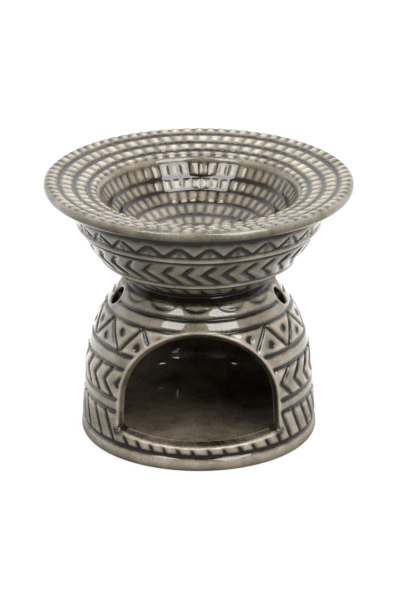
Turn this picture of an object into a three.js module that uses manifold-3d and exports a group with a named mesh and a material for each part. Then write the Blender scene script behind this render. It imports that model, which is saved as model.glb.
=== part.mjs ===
// A glazed ceramic oil burner: a domed chamber with an arched window and two vents, a plain
// neck ring, and a hollow-walled dish with a wide rim. Millimetres, +Z up. The origin is the
// middle of the foot at table height, and the window faces -Y.
import * as THREE from 'three';
import { mergeVertices } from 'three/addons/utils/BufferGeometryUtils.js';
import Module from 'manifold-3d';

const wasm = await Module();
wasm.setup();

// Walls and the grid of the turned shapes
const wall = 4.2;
const turnSteps = 48;

// Foot and floor
const footRadius = 48;
const footRounding = 2.6;
const footRingWidth = 6.5;
const footRecess = 2.8;
const floorFillet = 7;

// Dome: a slightly tapered side, then a round shoulder up to the neck
const shoulderRadius = 46.2;
const shoulderHeight = 30;
const domeTopRadius = 30.2;
const domeHeight = 65.2;
const neckBoreRadius = 24.8;

// Rings pressed round the dome: the line above the foot band, then shares of the dome's height
const footLineHeight = 6.6;
const bandLineShares = [0.301, 0.382, 0.587, 0.679, 0.856, 0.928];
const lineWidth = 1.3;
const lineDepth = 0.7;

// Carved between those lines, in degrees round from the window: slanted strokes above the foot,
// a band of arrowheads, and a zigzag of triangles
const strokeAngles = [-67.3, -55.9, -46.2, -37, -29.7, -22.7, -15.8, -9, -2.2, 5.6, 13.4, 21.6,
  29.2, 37.2, 44.9, 52.8, 61.2, 69.5];
const backStrokes = 28;
const strokeLean = 8;
const arrowCount = 35;
const domeArrowStart = -56.3;
const domeArrowSpread = 7.6;
const triangleCount = 14;
const triangleStart = 4.1;

// Arched window, cut towards the middle of the chamber at the height where the arch springs
const windowHalfAngle = 44;
const windowSpringHeight = 24;
const windowTopMargin = 9.4;
const sillRise = 3.5;
const sillSlope = 0.15;

// Two round vents in the shoulder, square to its surface
const ventDiameter = 8;
const ventDrop = 4.3;
const ventAngle = 77;

// Neck ring between the dome and the dish
const neckRingHeight = 4.3;
const coveDepth = 1.4;

// Dish: the outer wall leaves its foot and reaches the rim at these angles from upright, and each
// pull says how far, as a share of the wall's reach. Two thin ridges sit at shares of its height.
const dishFootRadius = 30.8;
const dishWallHeight = 28.5;
const dishWallTopRadius = 52.8;
const dishFootFlare = 60;
const dishFootPull = 0.36;
const dishTopFlare = 26;
const dishTopPull = 0.44;
const ridgeShares = [0.249, 0.751];
const ridgeWidth = 1.2;
const ridgeRise = 0.4;

// Carved on the dish: arrowheads between the ridges and a zigzag over them, as shares of the
// wall's height
const dishArrowShares = [0.298, 0.484, 0.66];
const dishArrowStart = 2.7;
const dishArrowSpread = 7.6;
const zigzagShares = [0.81, 0.98];
const zigzagCount = 27;
const zigzagStart = -2.2;

// Rim: a plate that falls towards the well, and a round lip with a small cove under it
const rimRadius = 62.5;
const rimRise = 36.56;
const lipRadius = 2.4;
const rimFall = 13.8;
const lipStartAngle = -115;
const underLipWidth = 1.1;
const underLipDrop = 2;

// Well for the oil, and the least gap left between its underside and the outer wall
const wellRadius = 39.5;
const wellDepth = 21;
const wellEdgeRadius = 4.5;

// Grooves between the rows of blocks: shares of the way in over the plate, then down the well
const plateGrooveShares = [0.213, 0.58, 0.916];
const wellGrooveShares = [0.24, 0.459, 0.645, 0.794];
const grooveWidth = 2.2;
const grooveDepth = 0.9;
const hollowGap = 4.5;

const radians = THREE.MathUtils.degToRad;
const at = (radius, height) => new THREE.Vector2(radius, height);
const dishSeat = domeHeight + neckRingHeight;

// Points of an elliptic arc about (radius, height); 0 degrees points outwards and 90 up.
function arc(centre, halfWidth, halfHeight, fromDegrees, toDegrees, steps) {
  return Array.from({ length: steps + 1 }, (_, i) => {
    const angle = radians(fromDegrees + ((toDegrees - fromDegrees) * i) / steps);
    return at(centre.x + halfWidth * Math.cos(angle), centre.y + halfHeight * Math.sin(angle));
  });
}

// The place along a rising curve, from 0 to 1, where it reaches a height.
function shareAtHeight(curve, height) {
  let low = 0;
  let high = 1;
  for (let i = 0; i < 40; i += 1) {
    const middle = (low + high) / 2;
    if (curve.getPoint(middle).y < height) low = middle;
    else high = middle;
  }
  return low;
}

// The curve's point moved square to it: inwards by a wall, or outwards by a ridge.
function besideCurve(curve, share, outwards) {
  const tangent = curve.getTangent(share);
  return curve.getPoint(share).add(at(tangent.y, -tangent.x).multiplyScalar(outwards));
}

// Points up a curve, with a ring at each height: a ridge where it rises, a groove where not. The
// curve is straight up to bendStart, so it gets no other points there.
function ringedCurve(curve, heights, width, rise, steps, bendStart = 0) {
  const rings = heights.map((height) =>
    [height - width / 2, height, height + width / 2].map((z) => shareAtHeight(curve, z)));
  const plain = [0, ...Array.from({ length: steps + 1 }, (_, i) =>
    bendStart + ((1 - bendStart) * i) / steps)]
    .filter((share, i, all) => i === 0 || share > all[0])
    .filter((share) => rings.every((ring) => share < ring[0] || share > ring[2]));
  const places = plain.map((share) => [share, 0]);
  rings.forEach(([below, middle, above]) => places.push([below, 0], [middle, rise], [above, 0]));
  places.sort((a, b) => a[0] - b[0]);
  return places.map(([share, outwards]) => besideCurve(curve, share, outwards));
}

// A profile of (radius, height) points turned about the Z axis.
function turned(profile) {
  return new THREE.LatheGeometry(profile, turnSteps).rotateX(Math.PI / 2);
}

// The same surface with shared vertices merged and flat triangles dropped.
function closed(geometry) {
  geometry.deleteAttribute('normal');
  geometry.deleteAttribute('uv');
  const merged = mergeVertices(geometry, 1e-3);
  const corners = merged.index.array;
  const kept = [];
  for (let i = 0; i < corners.length; i += 3) {
    const [a, b, c] = corners.slice(i, i + 3);
    if (a !== b && b !== c && c !== a) kept.push(a, b, c);
  }
  merged.setIndex(kept);
  return merged;
}

function toSolid(geometry) {
  const mesh = closed(geometry);
  return new wasm.Manifold(new wasm.Mesh({
    numProp: 3,
    vertProperties: new Float32Array(mesh.attributes.position.array),
    triVerts: new Uint32Array(mesh.index.array),
  }));
}

function toGeometry(solid) {
  const mesh = solid.getMesh();
  const geometry = new THREE.BufferGeometry();
  geometry.setAttribute('position', new THREE.BufferAttribute(mesh.vertProperties, 3));
  geometry.setIndex(new THREE.BufferAttribute(mesh.triVerts, 1));
  geometry.computeVertexNormals();
  return geometry;
}

// The dome's side: a straight taper, then an arc that leaves it smoothly and ends at the neck.
const side = new THREE.LineCurve(at(footRadius, footRounding), at(shoulderRadius, shoulderHeight));
const sideDirection = side.getTangent(0);
const inwards = at(-sideDirection.y, sideDirection.x);
const shoulderStart = at(shoulderRadius, shoulderHeight);
const shoulderChord = at(domeTopRadius, domeHeight).sub(shoulderStart);
const shoulderArcRadius = shoulderChord.lengthSq() / (2 * shoulderChord.dot(inwards));
const shoulderCentre = shoulderStart.clone().addScaledVector(inwards, shoulderArcRadius);
const shoulderAngle = (radius, height) =>
  Math.atan2(height - shoulderCentre.y, radius - shoulderCentre.x);
const shoulderFrom = shoulderAngle(shoulderRadius, shoulderHeight);
const shoulderTo = shoulderAngle(domeTopRadius, domeHeight);

function domeSide() {
  const path = new THREE.CurvePath();
  path.add(side);
  path.add(new THREE.EllipseCurve(shoulderCentre.x, shoulderCentre.y,
    shoulderArcRadius, shoulderArcRadius, shoulderFrom, shoulderTo));
  return path;
}

const domeCurve = domeSide();
const sideShare = shareAtHeight(domeCurve, shoulderHeight);
const domeRadiusAt = (height) => domeCurve.getPoint(shareAtHeight(domeCurve, height)).x;

// Down the inside of the dome: one wall inside the shoulder and the side, then the floor.
function chamberProfile() {
  const floorTop = footRecess + wall;
  const shoulderSteps = 9;
  const inside = Array.from({ length: shoulderSteps + 1 }, (_, i) => {
    const angle = shoulderTo + ((shoulderFrom - shoulderTo) * i) / shoulderSteps;
    const radius = shoulderArcRadius - wall;
    return shoulderCentre.clone().add(at(Math.cos(angle), Math.sin(angle)).multiplyScalar(radius));
  });
  const filletTop = floorTop + floorFillet;
  const filletCentre = at(domeRadiusAt(filletTop) - wall - floorFillet, filletTop);
  const fillet = arc(filletCentre, floorFillet, floorFillet, 0, -90, 5);
  return [...inside, ...fillet, at(0, floorTop)];
}

function domeProfile() {
  const footInside = footRadius - footRingWidth;
  const foot = arc(at(footRadius - footRounding, footRounding), footRounding, footRounding, -90, 0, 4);
  const lines = [footLineHeight, ...bandLineShares.map((share) => share * domeHeight)];
  const outside = ringedCurve(domeCurve, lines, lineWidth, -lineDepth, 8, sideShare).slice(1);
  return [
    at(0, footRecess), at(footInside - footRecess, footRecess), at(footInside, 0),
    ...foot, ...outside, at(neckBoreRadius, domeHeight), ...chamberProfile(),
  ];
}

// How far the cutting shapes run past what they cut.
const cutterReach = 1.6;

// The arch as seen from the middle of the chamber, one unit in front of it, widening outwards.
// Its straight legs run on down past the sill.
function windowCutter() {
  const top = domeHeight - windowTopMargin;
  const halfWidth = Math.tan(radians(windowHalfAngle));
  const rise = (top - windowSpringHeight) / domeRadiusAt(top);
  const shape = new THREE.Shape();
  shape.moveTo(-halfWidth, -1);
  shape.lineTo(halfWidth, -1);
  shape.absellipse(0, 0, halfWidth, rise, 0, Math.PI);
  const cone = new THREE.ExtrudeGeometry(shape, { depth: 1, curveSegments: 28, bevelEnabled: false });
  const place = cone.attributes.position;
  const near = footRadius / cutterReach / cutterReach;
  const far = footRadius * cutterReach;
  for (let i = 0; i < place.count; i += 1) {
    const distance = near + (far - near) * place.getZ(i);
    place.setXYZ(i, place.getX(i) * distance, -distance,
      windowSpringHeight + place.getY(i) * distance);
  }
  return toSolid(cone);
}

// Everything above the sill: a box whose underside slopes up from the front of the dome.
function aboveSill() {
  const sillHeight = footRecess + wall + sillRise;
  const size = 2 * footRadius * cutterReach;
  const block = new THREE.BoxGeometry(size, size, size).translate(0, 0, size / 2);
  block.rotateX(Math.atan(sillSlope)).translate(0, -footRadius, sillHeight);
  return toSolid(block);
}

// One vent's drill: a cylinder square to the shoulder, to one side of the window.
function ventCutter(degrees) {
  const share = shareAtHeight(domeCurve, domeHeight - ventDrop);
  const surface = domeCurve.getPoint(share);
  const tangent = domeCurve.getTangent(share);
  const out = new THREE.Vector3(Math.sin(radians(degrees)), -Math.cos(radians(degrees)), 0);
  const square = out.clone().multiplyScalar(tangent.y).setZ(-tangent.x);
  const length = 3 * wall * cutterReach;
  const drill = new THREE.CylinderGeometry(ventDiameter / 2, ventDiameter / 2, length, 24);
  drill.applyQuaternion(new THREE.Quaternion().setFromUnitVectors(THREE.Object3D.DEFAULT_UP, square));
  const middle = out.multiplyScalar(surface.x).setZ(surface.y);
  return toSolid(drill.translate(middle.x, middle.y, middle.z));
}

// A V-shaped blade laid along the wall between two places, each [degrees, height].
function blade(curve, from, to) {
  const onWall = ([degrees, height], outwards) => {
    const place = besideCurve(curve, shareAtHeight(curve, height), outwards);
    return new THREE.Vector3(place.x * Math.sin(radians(degrees)),
      -place.x * Math.cos(radians(degrees)), place.y);
  };
  const along = onWall(to, 0).sub(onWall(from, 0)).normalize();
  const corners = [from, to].flatMap((end) => {
    const middle = onWall(end, lineDepth);
    const across = along.clone().cross(middle.clone().sub(onWall(end, 0))).normalize();
    return [onWall(end, -lineDepth), middle.clone().addScaledVector(across, lineWidth),
      middle.addScaledVector(across, -lineWidth)];
  });
  return wasm.Manifold.hull(corners.map((corner) => corner.toArray()));
}

// A ring of arrowheads, each two blades that meet at its tip: heights are bottom, tip and top.
function arrowheads(curve, [bottom, tip, top], count, start, spread) {
  return Array.from({ length: count }, (_, i) => start + (360 / count) * i).flatMap((angle) =>
    [bottom, top].map((end) => blade(curve, [angle, tip], [angle + spread, end])));
}

// A ring of blades that run up and down in turn.
function zigzag(curve, bottom, top, count, start) {
  const half = 180 / count;
  return Array.from({ length: count }, (_, i) => start + 2 * half * i).flatMap((angle) =>
    [-half, half].map((turn) => blade(curve, [angle, bottom], [angle + turn, top])));
}

function domeBlades() {
  const [strokeTop, arrowBottom, arrowTop, triangleBottom, triangleTop] =
    bandLineShares.map((share) => share * domeHeight);
  const last = strokeAngles[strokeAngles.length - 1];
  const backPitch = (360 + strokeAngles[0] - last) / backStrokes;
  const back = Array.from({ length: backStrokes - 1 }, (_, i) => last + backPitch * (i + 1));
  const strokes = [...strokeAngles, ...back].map((angle) =>
    blade(domeCurve, [angle, footLineHeight], [angle - strokeLean, strokeTop]));
  const tip = (arrowBottom + arrowTop) / 2;
  return [
    ...strokes,
    ...arrowheads(domeCurve, [arrowBottom, tip, arrowTop], arrowCount, domeArrowStart, domeArrowSpread),
    ...zigzag(domeCurve, triangleBottom, triangleTop, triangleCount, triangleStart),
  ];
}

function domeBase() {
  const window = windowCutter().intersect(aboveSill());
  const dome = toSolid(turned(domeProfile())).subtract(wasm.Manifold.union(domeBlades()))
    .subtract(window).subtract(ventCutter(ventAngle)).subtract(ventCutter(-ventAngle));
  return toGeometry(dome);
}

// The plain collar between dome and dish: flat above and below, hollowed round the outside.
function neckRing() {
  const cove = new THREE.QuadraticBezierCurve(
    at(domeTopRadius, domeHeight),
    at((domeTopRadius + dishFootRadius) / 2 - 2 * coveDepth, domeHeight + neckRingHeight / 2),
    at(dishFootRadius, dishSeat),
  );
  const bore = [at(neckBoreRadius, dishSeat), at(neckBoreRadius, domeHeight)];
  return closed(turned([...cove.getPoints(6), ...bore, at(domeTopRadius, domeHeight)]));
}

// The outer wall of the dish, flaring from the neck to just under the rim.
const dishFoot = at(dishFootRadius, dishSeat);
const dishWallTop = at(dishWallTopRadius, dishSeat + dishWallHeight);
const dishReach = dishWallTop.distanceTo(dishFoot);
const leaning = (degrees) => at(Math.sin(radians(degrees)), Math.cos(radians(degrees)));
const dishCurve = new THREE.CubicBezierCurve(
  dishFoot,
  dishFoot.clone().addScaledVector(leaning(dishFootFlare), dishReach * dishFootPull),
  dishWallTop.clone().addScaledVector(leaning(dishTopFlare), -dishReach * dishTopPull),
  dishWallTop,
);

// The rim's plate is tangent to the lip's round and to the round of the well's edge.
const lipCentre = at(rimRadius - lipRadius, dishSeat + rimRise);
const plateAngle = 90 + rimFall;
const plateEnd = lipCentre.clone().addScaledVector(leaning(-rimFall), lipRadius);
const edgeOffset = leaning(-rimFall).multiplyScalar(wellEdgeRadius);
const edgeRadius = wellRadius + wellEdgeRadius;
const plateRun = plateEnd.x - (edgeRadius + edgeOffset.x);
const edgeCentre = at(edgeRadius, plateEnd.y - plateRun * Math.tan(radians(rimFall)) - edgeOffset.y);
const wellCentre = at(0, edgeCentre.y);

// The hollow between the well and the outer wall, up to where the two come close together.
function hollowProfile() {
  const reach = wellRadius + wall;
  const drop = wellDepth + wall;
  const underRadius = (height) => {
    const share = Math.min(1, Math.max(0, (wellCentre.y - height) / drop));
    return reach * Math.sqrt(1 - share * share);
  };
  const inside = Array.from({ length: 61 }, (_, i) => besideCurve(dishCurve, i / 60, -wall))
    .filter((place) => place.x > neckBoreRadius);
  const open = inside.filter((place) => place.x - underRadius(place.y) > hollowGap);
  const outerTop = open[open.length - 1];
  const innerTop = at(underRadius(outerTop.y), outerTop.y);
  const halfGap = (outerTop.x - innerTop.x) / 2;
  const crown = arc(at(innerTop.x + halfGap, innerTop.y), halfGap, halfGap, 180, 0, 5);
  const innerAngle = -Math.acos(innerTop.x / reach) * THREE.MathUtils.RAD2DEG;
  const underside = arc(wellCentre, reach, drop, -90, innerAngle, 7);
  const downWall = open.filter((_, i) => i % 6 === 0).reverse();
  return [...underside, ...crown.slice(1), ...downWall];
}

// The way over a surface as [share, depth] pairs: plain shares, and a groove at each of others.
function grooved(shares, lengthAt, plain = []) {
  const pairs = plain.map((share) => [share, 0]);
  shares.forEach((share) => {
    const half = grooveWidth / 2 / lengthAt(share);
    pairs.push([share - half, 0], [share, grooveDepth], [share + half, 0]);
  });
  return pairs.sort((a, b) => a[0] - b[0]);
}

function platePoints(edgeStart) {
  const inwards = edgeStart.clone().sub(plateEnd);
  return grooved(plateGrooveShares, () => inwards.length()).map(([share, depth]) =>
    plateEnd.clone().addScaledVector(inwards, share).addScaledVector(leaning(-rimFall), -depth));
}

function wellPoints() {
  const width = (share) => Math.sqrt(1 - share * share);
  const lengthAt = (share) => Math.hypot((wellRadius * share) / width(share), wellDepth);
  return grooved(wellGrooveShares, lengthAt, [0.1, 0.35, 0.56, 0.9, 0.96, 1])
    .map(([share, depth]) => {
      const square = at(wellDepth * width(share), -wellRadius * share).normalize();
      return at(wellRadius * width(share), wellCentre.y - wellDepth * share)
        .addScaledVector(square, depth);
    });
}

function dishProfile() {
  const ridges = ridgeShares.map((share) => dishSeat + share * dishWallHeight);
  const outside = ringedCurve(dishCurve, ridges, ridgeWidth, ridgeRise, 10);
  const lip = arc(lipCentre, lipRadius, lipRadius, lipStartAngle, plateAngle, 8);
  const coveCorner = at(dishWallTop.x + underLipWidth, lip[0].y - underLipDrop);
  const cove = new THREE.QuadraticBezierCurve(dishWallTop, coveCorner, lip[0]);
  const edge = arc(edgeCentre, wellEdgeRadius, wellEdgeRadius, plateAngle, 180, 4);
  return [
    ...hollowProfile(), at(neckBoreRadius, dishSeat + wall / 2), at(neckBoreRadius, dishSeat),
    ...outside, ...cove.getPoints(4).slice(1), ...lip.slice(1), ...platePoints(edge[0]),
    ...edge, ...wellPoints(),
  ];
}

function oilDish() {
  const [bottom, tip, top] = dishArrowShares.map((share) => dishSeat + share * dishWallHeight);
  const [low, high] = zigzagShares.map((share) => dishSeat + share * dishWallHeight);
  const blades = [
    ...arrowheads(dishCurve, [bottom, tip, top], arrowCount, dishArrowStart, dishArrowSpread),
    ...zigzag(dishCurve, low, high, zigzagCount, zigzagStart),
  ];
  return toGeometry(toSolid(turned(dishProfile())).subtract(wasm.Manifold.union(blades)));
}

const glaze = { color: '#8d8778', roughness: 0.2, metalness: 0 };

// A named sub-part with its own glazed material.
function part(name, geometry) {
  const mesh = new THREE.Mesh(geometry, new THREE.MeshStandardMaterial(glaze));
  mesh.name = name;
  return mesh;
}

const group = new THREE.Group();
group.add(part('dome_base', domeBase()));
group.add(part('neck_ring', neckRing()));
group.add(part('oil_dish', oilDish()));

export default group;
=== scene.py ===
"""Carved and glazed surfaces for a ceramic oil burner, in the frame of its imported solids.

The property groups hold metres, as Blender shows them. Paths, carving and openings are worked out
in millimetres and scaled once, when a piece is finished. Angles round the burner are in degrees,
0 at the middle of the window and 90 at its right.
"""
import math

import bmesh
import bpy
import numpy as np
from bpy.props import FloatProperty, FloatVectorProperty, IntProperty, PointerProperty
from mathutils import Matrix, Vector


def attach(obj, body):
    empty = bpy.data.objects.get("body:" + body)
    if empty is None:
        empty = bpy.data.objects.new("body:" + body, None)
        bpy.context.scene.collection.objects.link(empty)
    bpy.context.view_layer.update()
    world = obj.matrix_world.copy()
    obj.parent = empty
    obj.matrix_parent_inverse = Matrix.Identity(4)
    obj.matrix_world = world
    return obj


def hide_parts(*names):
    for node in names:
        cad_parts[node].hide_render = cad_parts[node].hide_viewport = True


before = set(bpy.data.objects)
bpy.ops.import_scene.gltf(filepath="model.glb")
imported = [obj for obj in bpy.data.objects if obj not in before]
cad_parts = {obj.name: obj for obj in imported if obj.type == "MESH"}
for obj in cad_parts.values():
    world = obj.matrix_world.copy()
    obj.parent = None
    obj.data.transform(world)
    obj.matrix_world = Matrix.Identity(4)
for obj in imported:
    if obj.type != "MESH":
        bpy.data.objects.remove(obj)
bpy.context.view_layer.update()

bl_info = {
    "name": "Carved Oil Burner",
    "version": (1, 0, 0),
    "blender": (4, 5, 0),
    "location": "3D View > Sidebar > Burner",
    "description": "Builds the carved, glazed surfaces of a ceramic oil burner",
    "category": "Add Mesh",
}

MM = 0.001


def linear(hex_colour):
    """Linear RGBA of an sRGB hex colour."""
    channels = [int(hex_colour[i:i + 2], 16) / 255 for i in (1, 3, 5)]
    return [c / 12.92 if c <= 0.04045 else ((c + 0.055) / 1.055) ** 2.4 for c in channels] + [1.0]


def length(name, description, default):
    return FloatProperty(name=name, description=description, default=default, unit="LENGTH")


def slope(name, description, degrees):
    return FloatProperty(name=name, description=description, default=math.radians(degrees),
                         subtype="ANGLE")


def colour(name, description, default):
    return FloatVectorProperty(name=name, description=description, default=linear(default)[:3],
                               subtype="COLOR", size=3, min=0.0, max=1.0)


class BurnerShape(bpy.types.PropertyGroup):
    """The turned shapes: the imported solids' sizes, with a rounder well, cove and floor."""

    wall: length("Wall", "Thickness of the clay", 0.0042)
    foot_radius: length("Foot Radius", "Outside of the foot", 0.048)
    foot_rounding: length("Foot Rounding", "Radius of the foot's outer edge", 0.0026)
    foot_ring: length("Foot Ring", "Width of the foot from its outside to the recess", 0.0065)
    foot_recess: length("Foot Recess", "Depth of the recess under the floor", 0.0028)
    floor_fillet: length("Floor Fillet", "Radius where the floor meets the wall", 0.0085)
    shoulder_radius: length("Shoulder Radius", "Dome radius where the shoulder starts", 0.0462)
    shoulder_height: length("Shoulder Height", "Height where the shoulder starts", 0.030)
    dome_top: length("Dome Top Radius", "Dome radius at the neck", 0.0302)
    dome_height: length("Dome Height", "Height of the dome", 0.0652)
    neck_bore: length("Neck Bore", "Radius of the flue through the neck", 0.0248)
    neck_height: length("Neck Height", "Height of the collar", 0.0043)
    neck_hollow: length("Neck Hollow", "Depth of the collar's cove", 0.0021)
    dish_foot: length("Dish Foot Radius", "Dish radius at the neck", 0.0308)
    dish_wall_height: length("Dish Wall Height", "From the neck to the lip's undercut", 0.0285)
    dish_wall_top: length("Dish Wall Top", "Dish radius at the undercut", 0.0528)
    rim_radius: length("Rim Radius", "Outside of the lip", 0.0625)
    rim_rise: length("Rim Rise", "Height of the lip's centre over the neck", 0.03656)
    lip_radius: length("Lip Radius", "Radius of the rolled lip", 0.0024)
    rim_fall: slope("Rim Fall", "Slope of the rim towards the well", 13.8)
    well_radius: length("Well Radius", "Radius of the well's mouth", 0.0395)
    well_depth: length("Well Depth", "Depth of the well", 0.021)
    well_edge: length("Well Edge", "Radius of the well's rounded edge", 0.0045)
    well_lean: slope("Well Lean", "Lean of the well's wall at its mouth", 30)


class BurnerCarving(bpy.types.PropertyGroup):
    """The cuts pressed into the clay."""

    line_width: length("Line Width", "Width of the carved lines", 0.0014)
    line_depth: length("Line Depth", "Depth of the carved lines", 0.0009)
    block_depth: length("Block Depth", "Height of the small blocks", 0.00075)
    dot_radius: length("Dot Radius", "Radius of the pressed dots", 0.0016)
    edge_radius: length("Edge Radius", "Rounding of the cut edges", 0.0011)
    chevrons: IntProperty(name="Chevrons", description="Chevrons round each band", default=35)
    triangles: IntProperty(name="Triangles", description="Triangles round the dome", default=14)
    zigzags: IntProperty(name="Zigzags", description="Zigzags round the dish", default=27)


class BurnerGlaze(bpy.types.PropertyGroup):
    """The glaze's colour where it breaks thin, lies even, and pools."""

    thin: colour("Thin Glaze", "Over edges, where the clay shows through", "#bcb09e")
    even: colour("Even Glaze", "On open surfaces", "#75705f")
    pooled: colour("Pooled Glaze", "In the carved lines", "#231b13")
    # Inside the chamber the glaze is browner and darker; the darkening is painted shade.
    inner_brown_and_shade: colour("Inner Glaze", "Browner glaze inside the chamber", "#665c4e")
    roughness: FloatProperty(name="Gloss Roughness", description="Roughness of the glossy glaze",
                             default=0.05, min=0.0, max=1.0)


# ---- Turned shapes


class Sizes:
    """A property group's values, with its lengths in millimetres."""

    def __init__(self, group):
        for name in group.__annotations__:
            value = getattr(group, name)
            is_length = isinstance(value, float) and name not in ("rim_fall", "well_lean")
            setattr(self, name, value / MM if is_length else value)


def shape():
    return Sizes(bpy.context.scene.burner_shape)


def carving():
    return Sizes(bpy.context.scene.burner_carving)


class Path:
    """A path of (radius, height) points, measured along its length and evenly spaced by a step."""

    def __init__(self, points, step=None, skip=0, start=0):
        points = np.array(points, float)
        lengths = np.concatenate(([0], np.cumsum(np.hypot(*np.diff(points, axis=0).T))))
        self.marks = lengths
        if step:
            self.marks = np.linspace(0, lengths[-1], max(1, round(lengths[-1] / step)) + 1)
        self.marks = self.marks[skip:]
        self.radii = np.interp(self.marks, lengths, points[:, 0])
        self.heights = np.interp(self.marks, lengths, points[:, 1])
        self.marks = self.marks + start

    def radius(self, along):
        return np.interp(along, self.marks, self.radii)

    def height(self, along):
        return np.interp(along, self.marks, self.heights)

    def at_height(self, height):
        """Length along a rising path where it reaches a height."""
        return np.interp(height, self.heights, self.marks)

    def radius_at(self, height):
        order = np.argsort(self.heights, kind="stable")
        return np.interp(height, self.heights[order], self.radii[order])

    def slope_at(self, height):
        return (self.radius_at(height + 0.2) - self.radius_at(height - 0.2)) / 0.4


def arc(centre, radius, start, end, steps, height=None):
    """Points of an arc about (radius, height); 0 degrees points outwards and 90 up."""
    angles = np.radians(np.linspace(start, end, steps + 1))
    rise = radius if height is None else height
    return list(zip(centre[0] + radius * np.cos(angles), centre[1] + rise * np.sin(angles)))


def bezier(start, pull, end, back, steps):
    """Points of a cubic curve from start to end, by its two handles."""
    share = np.linspace(0, 1, steps + 1)[:, None]
    a, b, c, d = (np.array(point, float) for point in (start, pull, back, end))
    curve = (1 - share) ** 3 * a + 3 * (1 - share) ** 2 * share * b
    return [tuple(p) for p in curve + 3 * (1 - share) * share ** 2 * c + share ** 3 * d]


def shoulder_arc(s):
    """Centre, radius and end angles of the arc that leaves the dome's side smoothly."""
    side = Vector((s.shoulder_radius - s.foot_radius, s.shoulder_height - s.foot_rounding))
    inwards = Vector((-side.y, side.x)).normalized()
    chord = Vector((s.dome_top - s.shoulder_radius, s.dome_height - s.shoulder_height))
    radius = chord.length_squared / (2 * chord.dot(inwards))
    centre = Vector((s.shoulder_radius, s.shoulder_height)) + inwards * radius
    ends = [math.degrees(math.atan2(z - centre.y, r - centre.x)) for r, z in
            ((s.shoulder_radius, s.shoulder_height), (s.dome_top, s.dome_height))]
    return centre, radius, ends


def dome_outside(s, step):
    """Up the outside of the dome, from the foot's flat to the neck."""
    centre, radius, (start, end) = shoulder_arc(s)
    foot = arc((s.foot_radius - s.foot_rounding, s.foot_rounding), s.foot_rounding, -90, 0, 12)
    return Path(foot + arc(centre, radius, start, end, 60), step)


def chamber_inside(s, step, skip=0):
    """Down the inside of the dome, from the neck's bore to the middle of the floor."""
    centre, radius, (start, end) = shoulder_arc(s)
    floor = s.foot_recess + s.wall
    fillet_top = floor + s.floor_fillet
    across = dome_outside(s, step).radius_at(fillet_top) - s.wall - s.floor_fillet
    fillet = arc((across, fillet_top), s.floor_fillet, 0, -90, 10)
    shoulder = arc(centre, radius - s.wall, end, start, 30)
    return Path([(s.neck_bore, s.dome_height)] + shoulder + fillet + [(0, floor)], step, skip)


def dish_seat(s):
    """Height where the dish sits on the collar."""
    return s.dome_height + s.neck_height


def dish_curve(s):
    """The flare of the dish's outer wall."""
    foot = Vector((s.dish_foot, dish_seat(s)))
    top = Vector((s.dish_wall_top, foot.y + s.dish_wall_height))
    reach = (top - foot).length
    flare, lean = math.radians(60), math.radians(26)
    pull = foot + Vector((math.sin(flare), math.cos(flare))) * reach * 0.36
    back = top - Vector((math.sin(lean), math.cos(lean))) * reach * 0.44
    return bezier(foot, pull, top, back, 60)


# Degrees round the lip where its roll starts, under the rim.
LIP_START = -115
# Where the bowl rests on the wall inside the clay, from the hollow out to the lip.
SEAM = [(46.4, 102.4), (52.0, 102.9)]
# How far the hollow behind the wall rises over the dish's seat.
HOLLOW_RISE = 27


def lip_centre(s):
    return s.rim_radius - s.lip_radius, dish_seat(s) + s.rim_rise


def dish_outside(s, step):
    """Up the dish's wall and out under the rim to where the lip starts."""
    wall = dish_curve(s)
    start = arc(lip_centre(s), s.lip_radius, LIP_START, LIP_START, 1)[0]
    corner = (s.dish_wall_top + 1.1, start[1] - 2)
    return Path(wall + bezier(wall[-1], corner, start, corner, 10)[1:], step)


def hollow_side(s):
    """Up the hidden side of the dish's wall to where it meets the bowl."""
    wall = np.array(dish_curve(s))
    step = np.gradient(wall, axis=0)
    step /= np.hypot(step[:, 0], step[:, 1])[:, None]
    inner = wall + np.column_stack((-step[:, 1], step[:, 0])) * s.wall
    top = dish_seat(s) + HOLLOW_RISE
    inner = [tuple(p) for p in inner if p[0] > s.neck_bore and p[1] < top]
    return [(s.neck_bore, inner[0][1])] + inner + [SEAM[0]]


def well_edge_centre(s):
    r, z = lip_centre(s)
    tilt = s.rim_fall
    plate = (r - s.lip_radius * math.sin(tilt), z + s.lip_radius * math.cos(tilt))
    radius = s.well_radius + s.well_edge
    run = plate[0] - (radius - s.well_edge * math.sin(tilt))
    return radius, plate[1] - run * math.tan(tilt) - s.well_edge * math.cos(tilt)


def rim_top(s, step):
    """Round the lip, down the rim and into the mouth of the well."""
    fall = math.degrees(s.rim_fall)
    lip = arc(lip_centre(s), s.lip_radius, LIP_START, 90 + fall, 24)
    edge = arc(well_edge_centre(s), s.well_edge, 90 + fall, 180 - math.degrees(s.well_lean), 12)
    return Path(lip + edge, step)


def well_inside(s, step, skip=0):
    """Down the bowl of the well to its middle."""
    (edge, level), lean = well_edge_centre(s), s.well_lean
    mouth = (edge - s.well_edge * math.cos(lean), level + s.well_edge * math.sin(lean))
    across = mouth[0] / math.cos(lean)
    down = (mouth[1] - level + s.well_depth) / (1 - math.sin(lean))
    centre = (0, mouth[1] + down * math.sin(lean))
    return Path(arc(centre, across, -math.degrees(lean), -90, 60, down), step, skip)


# ---- Carved relief


def near(value, width, sharpness=4):
    """1 in the middle of a cut and 0 well away from it, with rounded shoulders."""
    return 1 / (1 + (2 * np.abs(value) / width) ** sharpness)


def rising(value, start, width):
    """0 up to a start, then evenly up to 1 over a width."""
    return np.clip((value - start) / width, 0, 1)


def between(value, low, high, soft=0.25):
    """1 inside a band and 0 outside it."""
    return np.clip((value - low) / soft + 0.5, 0, 1) * np.clip((high - value) / soft + 0.5, 0, 1)


def wobble(angle, along, size):
    """A slow unevenness of the carver's hand."""
    a = np.radians(angle)
    return size * (np.sin(5 * a + 0.31 * along + 0.6) + 0.6 * np.sin(11 * a - 0.23 * along)
                   + 0.4 * np.sin(23 * a + 0.57 * along + 2.1)) / 2


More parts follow.
